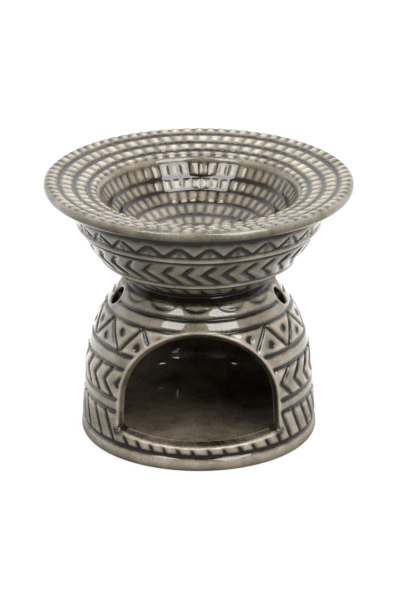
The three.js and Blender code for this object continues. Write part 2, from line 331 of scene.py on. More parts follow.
def repeated(angle, first, count):
    """Degrees from the nearest of so many marks spaced evenly round the piece."""
    pitch = 360 / count
    return (angle - first + pitch / 2) % pitch - pitch / 2


def crossing(offset, radius, lean):
    """Millimetres from a slanted line, from the degrees beside it and its lean in mm per mm."""
    return np.radians(offset) * radius / np.sqrt(1 + lean ** 2)


def chevron_distance(angle, height, radius, tip, top, bottom, first, count, reach):
    """Millimetres from the nearest "<" line; reach is its spread in degrees above and below."""
    up = np.clip((height - tip) / (top - tip), 0, None)
    down = np.clip((tip - height) / (tip - bottom), 0, None)
    offset = repeated(angle - reach[0] * up - reach[1] * down, first, count)
    lean = np.where(height > tip, np.radians(reach[0]) * radius / (top - tip),
                    np.radians(reach[1]) * radius / (tip - bottom))
    return crossing(offset, radius, lean)


def zigzag_distance(angle, along, low, high, first, count, radius):
    """Millimetres from a line that climbs from low to high and back so many times round."""
    offset = np.abs(repeated(angle, first, count)) * count / 180
    steep = math.atan((high - low) / (math.pi * radius / count))
    return (along - low - (high - low) * offset) * math.cos(steep)


def dot_distance(angle, along, radius, middle, first, count=1):
    """Millimetres from the nearest of so many dots round the piece."""
    return np.hypot(np.radians(repeated(angle, first, count)) * radius, along - middle)


def block_row(angle, along, radius, low, high, count, first, gap):
    """Depth shares of a row of blocks: 0 on a block, and up to 1 in the gaps and beyond it."""
    across = np.abs(np.radians(repeated(angle, first, count)) * radius)
    gaps = 1 - near(across, 2 * math.pi * radius / count - gap, 5)
    beyond = 1 - near(along - (low + high) / 2, high - low + 0.2, 6)
    return np.maximum(0.8 * gaps, beyond)


# Slanted strokes round the foot of the dome: their angles at the foot line, wider on the left and
# closer left of the middle, then even round the back, and their lean in degrees for each mm up.
STROKES = [-67.3, -55.9, -46.2, -37.0, -29.7, -22.7, -15.8, -9.0, -2.2, 5.6, 13.4, 21.6, 29.2,
           37.2, 44.9, 52.8, 61.2, 69.5]
BACK_STROKES = 28
STROKE_LEAN = 0.62


def stroke_distance(angle, radius, lean):
    """Millimetres from the nearest slanted stroke."""
    back = np.linspace(STROKES[-1], STROKES[0] + 360, BACK_STROKES + 1)[1:]
    marks = np.array(STROKES + list(back))
    places = np.arange(len(marks))
    wrapped = (angle - marks[0]) % 360 + marks[0]
    count = np.interp(wrapped, marks, places)
    nearest = np.interp(np.round(count), places, marks)
    return crossing(wrapped - nearest, radius, lean)


# Heights of the lines that part the dome's bands, from the foot up.
FOOT_LINE, STROKE_TOP, CHEVRON_LOW, CHEVRON_TOP, TRIANGLE_LOW, TRIANGLE_TOP, SHOULDER_LINE = (
    6.6, 19.6, 24.9, 38.3, 44.3, 55.8, 60.5)
# The ring lines over the foot line, with their widths as shares of the line width.
DOME_LINES = {STROKE_TOP: 1, CHEVRON_LOW: 1, CHEVRON_TOP: 1, TRIANGLE_LOW: 1,
              TRIANGLE_TOP: 0.85, SHOULDER_LINE: 0.8}
# The scallops between the shoulder line and the neck: how many, and the height of their middles.
SCALLOPS, SCALLOP_HEIGHT = 14, 62.9
# The clay is torn into knots beside the window's corners: their angle either side and height.
KNOT_ANGLE, KNOT_HEIGHT = 44.2, 12.4


def dome_relief(angle, along, path, c):
    """Height of the carved surface over the turned dome in mm, and how the glaze pools on it, with
    painted light and shade.
    """
    z, r = path.height(along), path.radius(along)
    angle = angle + wobble(angle, along, 0.5)
    lifted = along + wobble(angle + 70, along * 0.3, 0.22)
    width = c.line_width
    cuts = near(lifted - path.at_height(FOOT_LINE), width * 1.4)
    for line, share in DOME_LINES.items():
        cuts = np.maximum(cuts, near(lifted - path.at_height(line), share * width, 5))
    lean = np.radians(STROKE_LEAN) * r
    strokes = near(stroke_distance(angle + STROKE_LEAN * (z - 7), r, lean), width)
    cuts = np.maximum(cuts, strokes * between(z, 6.4, STROKE_TOP))
    chevrons = near(chevron_distance(angle, z, r, 31.6, CHEVRON_TOP, CHEVRON_LOW, -56.3,
                                     c.chevrons, (7.2, 8.0)), width * 1.15)
    cuts = np.maximum(cuts, chevrons * between(z, CHEVRON_LOW, CHEVRON_TOP))
    # The triangles start 4.1 degrees right of the middle and grow a little wider to the sides.
    spread = repeated(angle, 4.1, 1)
    bent = spread - 2.6 * np.sin(np.radians(spread))
    low, high = path.at_height(44.5), path.at_height(55.6)
    edges = near(zigzag_distance(bent, along, low, high, 0, c.triangles, 39), width * 0.95)
    cuts = np.maximum(cuts, edges * between(z, TRIANGLE_LOW, TRIANGLE_TOP))
    upper = dot_distance(bent, along, r, path.at_height(52.0), 0, c.triangles)
    lower = dot_distance(bent, along, r, path.at_height(48.1), 180 / c.triangles, c.triangles)
    dots = near(np.minimum(upper, lower), 2 * c.dot_radius, 6)
    swing = repeated(angle, -1, SCALLOPS) * SCALLOPS / 180
    middle = path.at_height(SCALLOP_HEIGHT + 2.3 * swing ** 2)
    waves = near(along - middle, 1.6) * (1 - 0.85 * swing ** 2)
    waves *= (0.75 - 0.25 * swing) * (z > SHOULDER_LINE + 0.4)
    cuts = np.maximum(cuts, 0.45 * waves)
    swell = 0.13 * np.clip(along - path.at_height(61.0), 0, None)
    joint = near(along - path.marks[-1], 1.6)
    plain = sum(between(z, low, high, 1) for low, high in
                ((STROKE_TOP, CHEVRON_LOW), (CHEVRON_TOP, TRIANGLE_LOW),
                 (TRIANGLE_TOP, SHOULDER_LINE)))
    knots = sum(near(dot_distance(angle, along, r, path.at_height(KNOT_HEIGHT), side), 3.0)
                for side in (-KNOT_ANGLE, KNOT_ANGLE))
    height = -c.line_depth * np.maximum(cuts, joint * 0.7) - 0.15 * plain - 0.6 * dots + swell
    height += knots * (np.sin(2.9 * along + angle) * np.sin(1.7 * angle) * 0.9 - 0.2)
    pool = 0.12 * plain + 0.5 * joint + 0.35 * cuts + 1.1 * dots + 1.5 * knots + 0.9 * waves
    # Painted light and shade: under the foot line the glaze is lighter, a painted reflection of
    # the white floor; above 56 mm it is lighter, painted light on the shoulder; and run darkens
    # the front middle of the shoulder, painted shade where the glaze mirrors the dark space in
    # front.
    run = near(angle - 2, 44) * between(z, 56.0, 66.0, 2)
    return height, pool - 0.1 - 0.2 * (z < FOOT_LINE) - 0.15 * (z > 56) + 0.35 * run


def collar_relief(angle, along, path, c):
    """Sinks the cove a little at both ends, where the pieces are luted, and pools the glaze dark
    over the whole cove: partly glaze gathered in the cove, partly painted shade in the neck's
    crevice.
    """
    joints = near(along, 2.2) + near(along - path.marks[-1], 2.2)
    # The whole cove is pooled dark: painted shade in the neck's crevice, over glaze that gathers
    # there.
    return -0.5 * joints * c.line_depth, 1.0 + 0 * along


# Heights of the lines round the dish and of the two raised ridges between them.
DISH_LINES = [75.6, 77.5, 89.7, 92.3]
DISH_RIDGES = [76.6, 90.9]
# The angle where the dish's zigzag and its row of small blocks start.
DISH_FIRST = -2.2


def dish_relief(angle, along, path, c):
    """Height of the carved surface over the dish's wall in mm, and how the glaze pools on it, with
    painted shade.
    """
    z, r = path.height(along), path.radius(along)
    angle = angle + wobble(angle, along, 0.4)
    width = c.line_width
    cuts = near(chevron_distance(angle, z, r, 83.3, 88.4, 78.0, 2.7, c.chevrons, (6.0, 8.6)),
                width * 1.2) * between(z, 78.6, 87.4, 2.4)
    for line in DISH_LINES:
        cuts = np.maximum(cuts, 0.75 * near(along - path.at_height(line), 0.9))
    low, high = path.at_height(92.0), path.at_height(97.2)
    zigzag = zigzag_distance(angle, along, low, high, DISH_FIRST, c.zigzags, 51)
    cuts = np.maximum(cuts, near(zigzag, width * 1.15) * between(z, 91.8, 97.6))
    dots = near(dot_distance(angle, along, r, path.at_height(94.3), DISH_FIRST + 180 / c.zigzags,
                             c.zigzags), 1.3 * c.dot_radius, 6)
    blocks = block_row(angle + 0.8 * (z - 72), along, r, path.at_height(70.9),
                       path.at_height(74.9), c.chevrons, DISH_FIRST, 1.5)
    blocks *= between(z, 70.0, 75.3, 0.5)
    ridges = sum(near(along - path.at_height(ridge), 1.0) for ridge in DISH_RIDGES) - dots
    joint = near(along - path.marks[0], 1.6)
    # Under the lip the wall is sunk a little and its glaze pooled dark: partly glaze gathered in
    # the undercut, partly painted shade under the lip.
    under = rising(z, 97.6, 2.2)
    height = -c.line_depth * np.maximum(np.maximum(cuts, joint * 0.7), 0.5 * under)
    pool = 0.5 * joint + 0.85 * cuts + 0.6 * dots + 0.9 * under + 0.6 * blocks - 0.05
    pool -= 0.5 * np.clip(ridges, 0, 1) + 0.2 * between(z, 92.6, 97.2)
    # Below 75 mm, by the neck, the glaze is made darker: painted shade under the dish.
    return height + 0.5 * ridges - 0.5 * blocks, pool + 0.1 * (z < 75)


# Rows of blocks on the rim: inner and outer radius, how many go round, and the first one's angle.
RIM_ROWS = [(57.2, 61.2, 80, 0.0), (51.0, 54.9, 67, 1.2), (45.4, 48.9, 58, 0.4),
            (40.9, 43.2, 54, 2.0)]
RIM_LINES = [56.0, 49.9, 44.3]


def rim_relief(angle, along, path, c):
    """The blocks and ring lines of the rim's plate; the lip stays plain."""
    r = path.radius(along)
    angle = angle + wobble(angle, r, 0.7)
    plate = rising(along, path.marks[-1] * 0.18, 0.6)
    sunk = np.ones_like(r)
    for low, high, count, first in RIM_ROWS:
        sunk = np.minimum(sunk, block_row(angle, r, r, low, high, count, first, 1.9))
    sunk *= plate * (1 - rising(-r, -41.0, 0.7)) * (1 - rising(r, 61.0, 0.9))
    lines = plate * sum(near(r - line, 1.1) for line in RIM_LINES)
    return -c.block_depth * sunk - 0.2 * lines, 0.08 * sunk + 0.2 * lines + 0.1 - 0.13 * plate


# Rows of blocks down the well: height of the lower edge, how many go round, and first angle.
WELL_ROWS = [(95.9, 59, 0.0), (91.6, 54, 2.0), (87.7, 47, 1.0), (84.3, 39, 3.0), (81.9, 30, 0.5),
             (80.3, 20, 4.0)]


def well_relief(angle, along, path, c):
    """The rows of blocks round the bowl, each with a groove under it."""
    r = path.radius(along)
    angle = angle + wobble(angle, along, 0.7)
    sunk, lines, top = np.ones_like(r), np.zeros_like(r), 2.0
    for height, count, first in WELL_ROWS:
        bottom = np.interp(-height, -path.heights, path.marks)
        sunk = np.minimum(sunk, block_row(angle, along, r, top, bottom - 1.1, count, first, 1.6))
        lines = np.maximum(lines, near(along - bottom, 2.4))
        top = bottom + 1.1
    sunk *= (1 - rising(-along, -1.7, 0.9)) * (1 - rising(along, top, 0.8))
    return -0.4 * c.block_depth * sunk, 0.6 * sunk + 0.2 * lines - 0.08


# ---- Turning the pieces


PLAIN, DOME, DISH, RIM, WELL, CHAMBER, JAMB = range(7)


def new_bmesh():
    bm = bmesh.new()
    bm.verts.layers.float.new("along")
    bm.verts.layers.int.new("zone")
    return bm


def mark(bm, vert, along, zone):
    """Records how far along its path a vertex lies, and in which zone."""
    vert[bm.verts.layers.float["along"]] = along
    vert[bm.verts.layers.int["zone"]] = zone


def spin_path(bm, path, columns, zone):
    """Turns a path about the Z axis; returns the open loops of edges at its start and its end.

    A sixteenth of the turn is spun, then doubled four times, which is much quicker than a spin
    of the whole turn. The number of columns is a multiple of sixteen.
    """
    before = set(bm.verts)
    line = []
    for radius, height, place in zip(path.radii, path.heights, path.marks):
        line.append(bm.verts.new((0, -radius, height)))
        mark(bm, line[-1], place, zone)
    edges = [bm.edges.new(pair) for pair in zip(line, line[1:])]
    share = 2 * math.pi / 16
    bmesh.ops.spin(bm, geom=line + edges, cent=(0, 0, 0), axis=(0, 0, 1), dvec=(0, 0, 0),
                   angle=share, steps=columns // 16)
    for _ in range(4):
        made = [v for v in bm.verts if v not in before]
        faces = dict.fromkeys(f for v in made for f in v.link_faces)
        copy = bmesh.ops.duplicate(bm, geom=list(faces))["geom"]
        bmesh.ops.rotate(bm, cent=(0, 0, 0), matrix=Matrix.Rotation(share, 3, "Z"),
                         verts=[g for g in copy if isinstance(g, bmesh.types.BMVert)])
        share *= 2
    made = [v for v in bm.verts if v not in before]
    bmesh.ops.remove_doubles(bm, verts=[v for v in made if v.is_boundary], dist=0.004)
    made = [v for v in bm.verts if v not in before]
    along = bm.verts.layers.float["along"]
    ends = []
    for place in (path.marks[0], path.marks[-1]):
        ring = dict.fromkeys(v for v in made if abs(v[along] - place) < 1e-4)
        ends.append(list(dict.fromkeys(e for v in ring for e in v.link_edges
                                       if e.is_boundary and e.other_vert(v) in ring)))
    return ends


def bridge(bm, one, other):
    bmesh.ops.bridge_loops(bm, edges=one + other)


# ---- Cutting the openings


# A rounded edge, as shares of its radius in from the faces it joins: at 45 and 67.5 degrees.
EDGE_HALF, EDGE_SIDE, EDGE_DEEP = 0.29, 0.076, 0.617
# Half the window's angle, the height from which the arch springs, and its top under the neck.
WINDOW_HALF, SPRINGING, WINDOW_DROP = 44, 24.0, 9.4
# The sill: the radius of its middle, its rise over the floor there, and its slope.
SILL_HEIGHT, SILL_RISE, SILL_SLOPE = 11.0, 3.5, 0.15
# The two vents: their angle either side, their middle's drop under the neck, and their radius.
VENT_ANGLE, VENT_DROP, VENT_RADIUS = 77, 4.3, 4.0
# The window's lower corners, where the glaze gathers: angle either side, radius and height.
CORNER_ANGLE, CORNER_RADIUS, CORNER_HEIGHT = 43.4, 44.6, 12.1


def meet(origin, direction, low, high, path):
    """Points where rays leave a turned surface, found by halving from inside it to outside."""
    low = np.full(len(direction), low, float)
    high = np.full(len(direction), high, float)
    for _ in range(40):
        middle = (low + high) / 2
        point = origin + direction * middle[:, None]
        inside = np.hypot(point[:, 0], point[:, 1]) < path.radius_at(point[:, 2])
        low = np.where(inside, middle, low)
        high = np.where(inside, high, middle)
    return origin + direction * low[:, None]


def outward(points, path):
    """Unit normals of a turned surface, pointing away from its axis."""
    flat = points[:, :2] / np.hypot(points[:, 0], points[:, 1])[:, None]
    normal = np.column_stack((flat, -path.slope_at(points[:, 2])))
    return normal / np.linalg.norm(normal, axis=1)[:, None]


def aside(points, normals):
    """Unit directions along the surface that point away from the opening."""
    tangent = np.roll(points, -1, axis=0) - np.roll(points, 1, axis=0)
    sideways = np.cross(tangent, normals)
    sideways /= np.linalg.norm(sideways, axis=1)[:, None]
    outwards = points - points.mean(axis=0)
    return sideways * np.sign((sideways * outwards).sum(axis=1).sum())


class Opening:
    """An opening through the dome: its outlines on the outside and on the inside of the wall."""

    def __init__(self, outer, inner, outside, inside, edge):
        self.outer, self.inner, self.edge = outer, inner, edge
        self.outer_normal, self.inner_normal = outward(outer, outside), outward(inner, inside)
        self.outer_side = aside(outer, self.outer_normal)
        self.inner_side = aside(inner, self.inner_normal)

    def rows(self):
        """Positions down through the wall, from inside the outer rounding to the inner skin."""
        edge, side, deep = self.edge, self.edge * EDGE_SIDE, self.edge * EDGE_DEEP
        thickness = np.linalg.norm(self.inner - self.outer, axis=1)[:, None]
        across = (self.inner - self.outer) / thickness
        rows = [self.outer + self.outer_side * side - self.outer_normal * deep]
        for share in np.linspace(0, 1, 8):
            rows.append(self.outer + across * (edge + (thickness - 2 * edge) * share))
        return rows + [self.inner + self.inner_side * side + self.inner_normal * deep,
                       self.inner + (self.inner_side + self.inner_normal) * edge * EDGE_HALF]


def spaced_evenly(outline, other, count):
    """A closed outline, and another that goes with it, resampled to even steps."""
    closed = np.vstack((outline, outline[:1]))
    lengths = np.concatenate(([0], np.cumsum(np.linalg.norm(np.diff(closed, axis=0), axis=1))))
    marks = np.linspace(0, lengths[-1], count, endpoint=False)
    return [np.column_stack([np.interp(marks, lengths, axis)
                             for axis in np.vstack((line, line[:1])).T])
            for line in (outline, other)]


def softened(outline, reach):
    """A closed outline with its corners rounded off by averaging along it."""
    total = sum(np.roll(outline, shift, axis=0) for shift in range(-reach, reach + 1))
    return total / (2 * reach + 1)


def window_opening(s, c, outside, inside):
    """The arch: rays from the chamber's axis, level with the springing of the arch."""
    top = s.dome_height - WINDOW_DROP
    half_width = math.tan(math.radians(WINDOW_HALF))
    rise = (top - SPRINGING) / outside.radius_at(top)
    turns = np.linspace(math.pi, 0, 200)
    arch = np.column_stack((half_width * np.cos(turns), rise * np.sin(turns)))
    sill = np.radians(np.linspace(WINDOW_HALF, -WINDOW_HALF, 200))
    ahead = outside.radius_at(SILL_HEIGHT) * np.cos(sill)
    height = s.foot_recess + s.wall + SILL_RISE + SILL_SLOPE * (s.foot_radius - ahead)
    low = np.column_stack((np.tan(sill), (height - SPRINGING) / ahead))
    leg = np.linspace(0, 1, 40)[1:-1, None]
    right = arch[-1] + (low[0] - arch[-1]) * leg
    left = low[-1] + (arch[0] - low[-1]) * leg
    flat = np.vstack((arch, right, low, left))
    origin = np.array([0, 0, SPRINGING])
    rays = np.column_stack((flat[:, 0], -np.ones(len(flat)), flat[:, 1]))
    rays = softened(spaced_evenly(meet(origin, rays, 15, 60, outside), rays, 1200)[1], 10)
    return Opening(meet(origin, rays, 15, 60, outside), meet(origin, rays, 15, 60, inside),
                   outside, inside, c.edge_radius)


def vent_opening(s, c, outside, inside, degrees):
    """A round vent square to the shoulder."""
    height = s.dome_height - VENT_DROP
    azimuth = math.radians(degrees)
    radius = float(outside.radius_at(height))
    middle = np.array([radius * math.sin(azimuth), -radius * math.cos(azimuth), height])
    axis = outward(middle[None], outside)[0]
    level = np.array([math.cos(azimuth), math.sin(azimuth), 0])
    upwards = np.cross(level, axis)
    turns = np.linspace(0, 2 * math.pi, 240, endpoint=False)[:, None]
    ring = middle + VENT_RADIUS * (np.cos(turns) * level + np.sin(turns) * upwards)
    rays = np.repeat(axis[None], len(ring), axis=0)
    outer, inner = spaced_evenly(meet(ring, rays, -2.5, 4, outside),
                                 meet(ring, rays, -9, 0, inside), 240)
    return Opening(outer, inner, outside, inside, c.edge_radius * 0.8)


def inside_outline(points, outline):
    """Which points lie inside an outline, seen from its middle out along the wall."""
    middle = outline.mean(axis=0)
    normal = middle * np.array([1, 1, 0])
    normal /= np.linalg.norm(normal)
    level = np.array([-normal[1], normal[0], 0])
    upwards = np.cross(normal, level)
    x, y = (points - middle) @ level, (points - middle) @ upwards
    ox, oy = (outline - middle) @ level, (outline - middle) @ upwards
    order = np.argsort(np.arctan2(oy, ox))
    reach = np.interp(np.arctan2(y, x), np.arctan2(oy, ox)[order], np.hypot(ox, oy)[order],
                      period=2 * math.pi)
    return (np.hypot(x, y) < reach) & ((points @ normal) > 0)


def open_hole(bm, zone, outline):
    """Deletes the faces inside an outline; returns the vertices of the open loop, in order."""
    zones = bm.verts.layers.int["zone"]
    faces = [f for f in bm.faces if all(v[zones] == zone for v in f.verts)]
    middles = np.array([f.calc_center_median() for f in faces])
    marked = [f for f, hit in zip(faces, inside_outline(middles, outline)) if hit]
    border = dict.fromkeys(e for f in marked for e in f.edges)
    bmesh.ops.delete(bm, geom=marked, context="FACES")
    border = {e: True for e in border if e.is_valid and e.is_boundary}
    loop = [next(iter(border)).verts[0]]
    while True:
        step = next((e for e in loop[-1].link_edges if e in border), None)
        if step is None:
            return loop[:-1]
        del border[step]
        loop.append(step.other_vert(loop[-1]))


def settle_on(loop, outline):
    """Where each vertex of a loop goes on an outline, as an evened-out place along it."""
    count = len(outline)
    places = [int(np.argmin(np.linalg.norm(outline - np.array(v.co), axis=1))) for v in loop]

    def steps():
        return (np.diff(places + places[:1]) + count / 2) % count - count / 2

    if steps().sum() < 0:
        loop.reverse()
        places.reverse()
    running = places[0] + np.concatenate(([0], np.cumsum(steps()[:-1])))
    even = running[0] + np.arange(len(loop)) * count / len(loop)
    drift = running - even
    for _ in range(12):
        drift = (np.roll(drift, 1) + 2 * drift + np.roll(drift, -1)) / 4
    return even + drift


def row_positions(row, places):
    """Points at places along a closed row, between its own points."""
    marks = np.arange(len(row) + 1)
    return np.column_stack([np.interp(places % len(row), marks, axis)
                            for axis in np.vstack((row, row[:1])).T])


def loop_edges(loop):
    return [v.link_edges[[e.other_vert(v) for e in v.link_edges].index(w)]
            for v, w in zip(loop, loop[1:] + loop[:1])]


def extrude_loop(bm, loop, positions, zone, along):
    """Draws an open loop on to new positions and returns the new loop."""
    made = bmesh.ops.extrude_edge_only(bm, edges=loop_edges(loop))["geom"]
    fresh = {v for v in made if isinstance(v, bmesh.types.BMVert)}
    drawn = []
    for vert, place in zip(loop, positions):
        twin = next(e.other_vert(vert) for e in vert.link_edges if e.other_vert(vert) in fresh)
        twin.co = place
        mark(bm, twin, along, zone)
        drawn.append(twin)
    return drawn


def settled_hole(bm, zone, outline, row):
    """Opens a hole and lays its loop on a row; returns the loop and its places along the row."""
    loop = open_hole(bm, zone, outline)
    places = settle_on(loop, outline)
    for vert, place in zip(loop, row_positions(row, places)):
        vert.co = place
    return loop, places


def cut_opening(bm, opening):
    """Cuts an opening through both skins of the dome and joins them round it."""
    loop, places = settled_hole(bm, DOME, opening.outer, opening.outer)
    *rows, last = opening.rows()
    for depth, row in enumerate(rows):
        loop = extrude_loop(bm, loop, row_positions(row, places), JAMB, depth * 0.4)
    far, _ = settled_hole(bm, CHAMBER, opening.inner, last)
    far_edges, near_edges = loop_edges(far), loop_edges(loop)
    bridge(bm, near_edges, far_edges)


# ---- Carving and glazing


def distances(spots, line, step):
    """How far spots are from a line's nearest point, and which point that is."""
    gaps = np.full(len(spots), np.inf)
    nearest = np.zeros(len(spots), int)
    for start in range(0, len(line), step):
        distance = np.linalg.norm(spots - line[start], axis=1)
        nearest = np.where(distance < gaps, start, nearest)
        gaps = np.minimum(gaps, distance)
    return gaps, nearest


def pressed(relief, path, angle, along, c):
    """A relief's height, how far it lies under the ground round it, and where glaze pools.

    The ground is the mean of rings of places round each vertex. The two inner rings count as the
    surface, which the runny glaze can't follow, and the two outer ones as the ground.
    """
    height, pool = relief(angle, along, path, c)
    radius = np.maximum(path.radius(along), 1.0)
    level = {}
    for reach in (0.6, 1.1, 2.0, 3.0):
        level[reach] = np.zeros_like(height)
        for turns in np.linspace(0, 2 * math.pi, 8, endpoint=False):
            shifted = np.clip(along + reach * math.sin(turns), 0, path.marks[-1])
            swung = angle + np.degrees(reach * math.cos(turns) / radius)
            level[reach] += relief(swung, shifted, path, c)[0] / 8
    surface = (height + level[0.6] + level[1.1]) / 3
    return height, (level[2.0] + level[3.0]) / 2 - surface, pool


def rounded_off(spot, openings):
    """How the skin moves round the openings, how far the relief fades, and the glaze thins."""
    shift, fade, thinning = np.zeros_like(spot), np.ones(len(spot)), np.zeros(len(spot))
    for opening in openings:
        gaps, nearest = distances(spot, opening.outer, 4)
        edge = opening.edge
        out = EDGE_HALF * edge * (1 - gaps / edge)
        reach = np.clip(gaps + out, 0, edge)
        drop = edge - np.sqrt(np.maximum(edge ** 2 - (edge - reach) ** 2, 0))
        push = opening.outer_side[nearest] * out[:, None]
        push -= opening.outer_normal[nearest] * drop[:, None]
        shift += np.where((gaps < edge)[:, None], push, 0)
        fade = np.minimum(fade, rising(gaps, 0.2, 1.6))
        thinning = np.maximum(thinning, np.clip(1.25 - gaps / (1.5 * edge), 0, 1))
    return shift, fade, thinning


def glaze_cut_sides(glaze, points, zones, openings):
    """Pooled dark in the vents and up the right jamb and lighter up the left, as painted shade and
    light; thin on the edges, pooled in the corners.
    """
    x, y, z = points.T
    cut = zones == JAMB
    # The right jamb is painted darker and the left one lighter: painted shade and painted light on
    # the window's sides.
    jamb = 0.45 + 0.35 * rising(z, 15, 6) * np.clip(x / 20, -1, 1)
    # Inside the vents the glaze is pooled dark: painted shade in the small holes.
    glaze[cut] = np.where(np.abs(x) > -1.7 * y, 1.0, jamb)[cut]
    lining = cut | (zones == CHAMBER)
    for opening in openings:
        for line in (opening.outer, opening.inner):
            thin = np.clip(1.3 - distances(points[lining], line, 6)[0], 0, 1)
            glaze[lining] = glaze[lining] * (1 - thin) - thin
    for side in (-CORNER_ANGLE, CORNER_ANGLE):
        turned = math.radians(side)
        corner = np.array([CORNER_RADIUS * math.sin(turned), -CORNER_RADIUS * math.cos(turned),
                           CORNER_HEIGHT])
        gaps = np.linalg.norm(points - corner, axis=1)
        glaze = np.maximum(glaze, np.clip(3.2 - gaps, -1, 1))
    return glaze


def read(values, name, kind, size):
    """A value of every vertex as an array."""
    found = np.empty(len(values) * size, kind)
    values.foreach_get(name, found)
    return found.reshape(-1, size).astype(float) if size > 1 else found


def carve(piece, reliefs, openings=()):
    """Presses the relief into a piece and records how thick the glaze lies over it.

    The glaze attribute runs from -1, thin over an edge, to 1, pooled; in places it also carries
    painted light and shade. The chamber attribute is how brown it is, which is most inside the
    chamber, where the darker colour is partly painted shade.
    """
    mesh, c = piece.data, carving()
    points = read(mesh.vertices, "co", np.float32, 3)
    normals = read(mesh.vertices, "normal", np.float32, 3)
    along = read(mesh.attributes["along"].data, "value", np.float32, 1)
    zones = read(mesh.attributes["zone"].data, "value", np.int32, 1)
    glaze = np.zeros(len(points))
    moved = points.copy()
    for zone, (relief, path) in reliefs.items():
        chosen = zones == zone
        spot = points[chosen]
        angle = np.degrees(np.arctan2(spot[:, 0], -spot[:, 1]))
        height, sunk, pool = pressed(relief, path, angle, along[chosen].astype(float), c)
        shift, fade, thinning = rounded_off(spot, openings)
        moved[chosen] = spot + shift + normals[chosen] * (height * fade)[:, None]
        thickness = sunk / 0.45 * fade
        thickness = np.where(thickness < 0, 0.75 * thickness, thickness) + pool
        glaze[chosen] = np.clip(thickness * (1 - thinning) - thinning, -1, 1)
    if openings:
        glaze = glaze_cut_sides(glaze, points, zones, openings)
    mesh.vertices.foreach_set("co", (moved * MM).astype(np.float32).ravel())
    # Browner in the well and jamb, and browner and darker in the chamber, where the darkening is
    # painted shade.
    brown = (zones == CHAMBER) + 0.5 * (zones == JAMB) + 0.6 * (zones == WELL)
    for name, values in (("glaze", glaze), ("chamber", brown)):
        layer = mesh.attributes.new(name, "FLOAT", "POINT")
        layer.data.foreach_set("value", values.astype(np.float32))
    mesh.update()


def finish_mesh(bm, name):
    """Turns a bmesh in millimetres into a smooth-shaded object."""
    bmesh.ops.remove_doubles(bm, verts=list(bm.verts), dist=0.002)
    bmesh.ops.recalc_face_normals(bm, faces=list(bm.faces))
    for face in bm.faces:
        face.smooth = True
    mesh = bpy.data.meshes.new(name)
    bm.to_mesh(mesh)
    bm.free()
    piece = bpy.data.objects.new(name, mesh)
    bpy.context.scene.collection.objects.link(piece)
    return piece


def fire(bm, name, reliefs, *nodes, openings=()):
    """Finishes a piece: carved, glazed, and in the frame in the place of its solids."""
    piece = finish_mesh(bm, name)
    carve(piece, reliefs, openings)
    piece.data.materials.append(dipped_glaze())
    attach(piece, "root")
    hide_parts(*nodes)
    return {"FINISHED"}


# ---- Materials


def node(tree, kind, settings=None, links=None):
    """Adds one node, sets its properties and sockets, and links its inputs."""
    made = tree.nodes.new("ShaderNode" + kind)
    for name, value in (settings or {}).items():
        if isinstance(name, str) and hasattr(made, name):
            setattr(made, name, value)
        else:
            made.inputs[name].default_value = value
    for name, source in (links or {}).items():
        tree.links.new(source, made.inputs[name])
    return made


def empty_tree(owner):
    """The node tree of a new material or world, cleared."""
    owner.use_nodes = True
    owner.node_tree.nodes.clear()
    return owner.node_tree


def ramp(made, stops):
    """Sets a colour ramp's stops, as (place, colour)."""
    elements = made.color_ramp.elements
    while len(elements) > 1:
        elements.remove(elements[-1])
    elements[0].position, elements[0].color = stops[0]
    for place, tint in stops[1:]:
        elements.new(place).color = tint


# Noise in the glaze: scale, detail and roughness.
GLAZE_NOISE = {
    "clouds": (85.0, 3.0, 0.55),  # thicker and thinner patches, about 12 mm across
    "stains": (125.0, 2.0, 0.5),  # browner patches, about 8 mm across
    "specks": (1250.0, 2.0, 0.5),  # 0.8 mm apart, coarser than the real grog so that they show
    "waves": (110.0, 1.0, 0.5),  # the skin's slow waviness, about 9 mm across
    "peel": (620.0, 1.0, 0.5),  # faint orange peel, about 1.6 mm across
}


